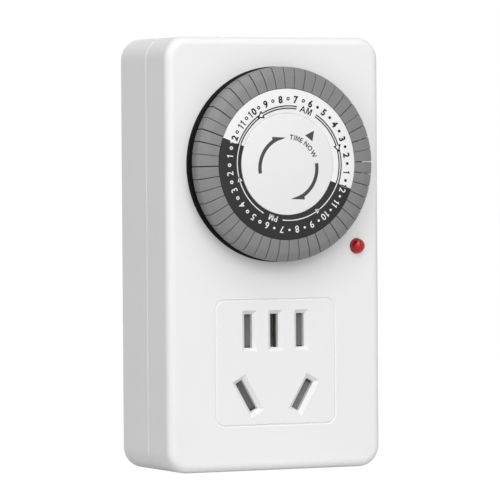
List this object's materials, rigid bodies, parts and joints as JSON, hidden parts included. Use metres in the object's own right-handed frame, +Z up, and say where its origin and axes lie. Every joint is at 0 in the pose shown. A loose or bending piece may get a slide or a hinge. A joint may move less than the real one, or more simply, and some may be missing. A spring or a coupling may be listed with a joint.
{
  "type": "plug-in timer switch",
  "caption": "Plug-in mains timer with a rotating segment dial of push-in tappets, a five-hole socket face, an indicator lamp and three flat plug blades.",
  "frame": {"origin": "on the flat rear face, on the axis of the three plug blades' circle", "axes": "+X to the right seen from the front, +Y out of the rear face towards the wall, +Z up along the long side"},
  "size_m": [0.052, 0.0526, 0.0954],
  "materials": {
    "case_white": "satin",
    "cap_white": "satin",
    "print_ring": "printed",
    "wheel_black": "matte",
    "tappet_grey": "moulded",
    "gear_nylon": "moulded",
    "deck_plastic": "moulded",
    "screw_steel": "plated",
    "motor_steel": "pressed",
    "coil_copper": "enamelled",
    "magnet_dark": "matte",
    "switch_black": "matte",
    "contact_brass": "bright",
    "blade_brass": "polished",
    "shutter_grey": "matte",
    "lamp_red": "clear",
    "board_green": "satin"
  },
  "bodies": {
    "case": {"front_housing": "case_white", "rear_housing": "case_white", "case_screws": "screw_steel", "centre_cap": "cap_white", "dial_post": "deck_plastic", "gear_deck": "deck_plastic", "deck_screws": "screw_steel", "idler_axle": "screw_steel", "motor_can": "motor_steel", "motor_cover": "motor_steel", "motor_bobbin": "deck_plastic", "motor_coil": "coil_copper", "motor_screws": "screw_steel", "lever_pin": "screw_steel", "microswitch_case": "deck_plastic", "microswitch_terminals": "contact_brass", "contact_holder": "deck_plastic", "earth_contact": "contact_brass", "neutral_contact": "contact_brass", "live_contact": "contact_brass", "earth_blade": "blade_brass", "neutral_blade": "blade_brass", "live_blade": "blade_brass", "lamp_lens": "lamp_red", "lamp_board": "board_green"},
    "dial": {"dial_wheel": "wheel_black", "dial_gear": "gear_nylon", "dial_face": "print_ring"},
    "idler": {"idler_gear": "gear_nylon"},
    "motor_shaft": {"motor_pinion": "gear_nylon"},
    "rotor": {"motor_rotor": "magnet_dark"},
    "lever": {"switch_lever": "switch_black"},
    "plunger": {"switch_plunger": "switch_black"},
    "contact_blade": {"switch_blade": "contact_brass"},
    "line_shutter": {"three_pin_shutter": "shutter_grey"},
    "upper_shutter": {"two_pin_shutter": "shutter_grey"},
    "tappets_00": {"tappets_00": "tappet_grey"},
    "tappets_01": {"tappets_01": "tappet_grey"},
    "tappets_02": {"tappets_02": "tappet_grey"},
    "tappets_03": {"tappets_03": "tappet_grey"},
    "tappets_04": {"tappets_04": "tappet_grey"},
    "tappets_05": {"tappets_05": "tappet_grey"},
    "tappets_06": {"tappets_06": "tappet_grey"},
    "tappets_07": {"tappets_07": "tappet_grey"},
    "tappets_08": {"tappets_08": "tappet_grey"},
    "tappets_09": {"tappets_09": "tappet_grey"},
    "tappets_10": {"tappets_10": "tappet_grey"},
    "tappets_11": {"tappets_11": "tappet_grey"},
    "tappets_12": {"tappets_12": "tappet_grey"},
    "tappets_13": {"tappets_13": "tappet_grey"},
    "tappets_14": {"tappets_14": "tappet_grey"},
    "tappets_15": {"tappets_15": "tappet_grey"},
    "tappets_16": {"tappets_16": "tappet_grey"},
    "tappets_17": {"tappets_17": "tappet_grey"},
    "tappets_18": {"tappets_18": "tappet_grey"},
    "tappets_19": {"tappets_19": "tappet_grey"},
    "tappets_20": {"tappets_20": "tappet_grey"},
    "tappets_21": {"tappets_21": "tappet_grey"},
    "tappets_22": {"tappets_22": "tappet_grey"},
    "tappets_23": {"tappets_23": "tappet_grey"}
  },
  "joints": [
    {"name": "dial_turn", "type": "hinge", "parent": "case", "child": "dial", "pos_m": [0, -0.022, 0.04695], "axis": [0, 1, 0], "continuous": true},
    {"name": "idler_turn", "type": "hinge", "parent": "case", "child": "idler", "pos_m": [0.0084, -0.02, 0.0615], "axis": [0, 1, 0], "continuous": true},
    {"name": "motor_shaft_turn", "type": "hinge", "parent": "case", "child": "motor_shaft", "pos_m": [0.00171, -0.018, 0.05407], "axis": [0, 1, 0], "continuous": true},
    {"name": "rotor_turn", "type": "hinge", "parent": "case", "child": "rotor", "pos_m": [0.00171, -0.01, 0.05407], "axis": [0, 1, 0], "continuous": true},
    {"name": "lever_swing", "type": "hinge", "parent": "case", "child": "lever", "pos_m": [0.00038, -0.022, 0.0195], "axis": [-1, 0, 0], "range_deg": [0, 9], "stiffness_Nm_per_rad": 0.008, "springref_deg": -20.05},
    {"name": "plunger_slide", "type": "slide", "parent": "case", "child": "plunger", "axis": [0, 1, 0], "range_m": [0, 0.00087]},
    {"name": "contact_blade_bend", "type": "hinge", "parent": "case", "child": "contact_blade", "pos_m": [-0.0051, -0.01718, 0.025], "axis": [0, 0, 1], "range_deg": [0, 10]},
    {"name": "line_shutter_slide", "type": "slide", "parent": "case", "child": "line_shutter", "axis": [1, 0, 0], "range_m": [0, 0.003], "stiffness_N_per_m": 60, "springref_m": -0.003},
    {"name": "upper_shutter_slide", "type": "slide", "parent": "case", "child": "upper_shutter", "axis": [1, 0, 0], "range_m": [0, 0.003], "stiffness_N_per_m": 60, "springref_m": -0.003},
    {"name": "tappets_00_push", "type": "slide", "parent": "dial", "child": "tappets_00", "axis": [0, 1, 0], "range_m": [0, 0.002]},
    {"name": "tappets_01_push", "type": "slide", "parent": "dial", "child": "tappets_01", "axis": [0, 1, 0], "range_m": [0, 0.002]},
    {"name": "tappets_02_push", "type": "slide", "parent": "dial", "child": "tappets_02", "axis": [0, 1, 0], "range_m": [0, 0.002]},
    {"name": "tappets_03_push", "type": "slide", "parent": "dial", "child": "tappets_03", "axis": [0, 1, 0], "range_m": [0, 0.002]},
    {"name": "tappets_04_push", "type": "slide", "parent": "dial", "child": "tappets_04", "axis": [0, 1, 0], "range_m": [0, 0.002]},
    {"name": "tappets_05_push", "type": "slide", "parent": "dial", "child": "tappets_05", "axis": [0, 1, 0], "range_m": [0, 0.002]},
    {"name": "tappets_06_push", "type": "slide", "parent": "dial", "child": "tappets_06", "axis": [0, 1, 0], "range_m": [0, 0.002]},
    {"name": "tappets_07_push", "type": "slide", "parent": "dial", "child": "tappets_07", "axis": [0, 1, 0], "range_m": [0, 0.002]},
    {"name": "tappets_08_push", "type": "slide", "parent": "dial", "child": "tappets_08", "axis": [0, 1, 0], "range_m": [0, 0.002]},
    {"name": "tappets_09_push", "type": "slide", "parent": "dial", "child": "tappets_09", "axis": [0, 1, 0], "range_m": [0, 0.002]},
    {"name": "tappets_10_push", "type": "slide", "parent": "dial", "child": "tappets_10", "axis": [0, 1, 0], "range_m": [0, 0.002]},
    {"name": "tappets_11_push", "type": "slide", "parent": "dial", "child": "tappets_11", "axis": [0, 1, 0], "range_m": [0, 0.002]},
    {"name": "tappets_12_push", "type": "slide", "parent": "dial", "child": "tappets_12", "axis": [0, 1, 0], "range_m": [0, 0.002]},
    {"name": "tappets_13_push", "type": "slide", "parent": "dial", "child": "tappets_13", "axis": [0, 1, 0], "range_m": [0, 0.002]},
    {"name": "tappets_14_push", "type": "slide", "parent": "dial", "child": "tappets_14", "axis": [0, 1, 0], "range_m": [0, 0.002]},
    {"name": "tappets_15_push", "type": "slide", "parent": "dial", "child": "tappets_15", "axis": [0, 1, 0], "range_m": [0, 0.002]},
    {"name": "tappets_16_push", "type": "slide", "parent": "dial", "child": "tappets_16", "axis": [0, 1, 0], "range_m": [0, 0.002]},
    {"name": "tappets_17_push", "type": "slide", "parent": "dial", "child": "tappets_17", "axis": [0, 1, 0], "range_m": [0, 0.002]},
    {"name": "tappets_18_push", "type": "slide", "parent": "dial", "child": "tappets_18", "axis": [0, 1, 0], "range_m": [0, 0.002]},
    {"name": "tappets_19_push", "type": "slide", "parent": "dial", "child": "tappets_19", "axis": [0, 1, 0], "range_m": [0, 0.002]},
    {"name": "tappets_20_push", "type": "slide", "parent": "dial", "child": "tappets_20", "axis": [0, 1, 0], "range_m": [0, 0.002]},
    {"name": "tappets_21_push", "type": "slide", "parent": "dial", "child": "tappets_21", "axis": [0, 1, 0], "range_m": [0, 0.002]},
    {"name": "tappets_22_push", "type": "slide", "parent": "dial", "child": "tappets_22", "axis": [0, 1, 0], "range_m": [0, 0.002]},
    {"name": "tappets_23_push", "type": "slide", "parent": "dial", "child": "tappets_23", "axis": [0, 1, 0], "range_m": [0, 0.002]}
  ],
  "couplings": [
    {"joint": "idler_turn", "follows": "dial_turn", "ratio": -6},
    {"joint": "motor_shaft_turn", "follows": "dial_turn", "ratio": 24},
    {"joint": "plunger_slide", "follows": "lever_swing", "m_per_rad": 0.0055},
    {"joint": "contact_blade_bend", "follows": "lever_swing", "ratio": 1.1}
  ]
}
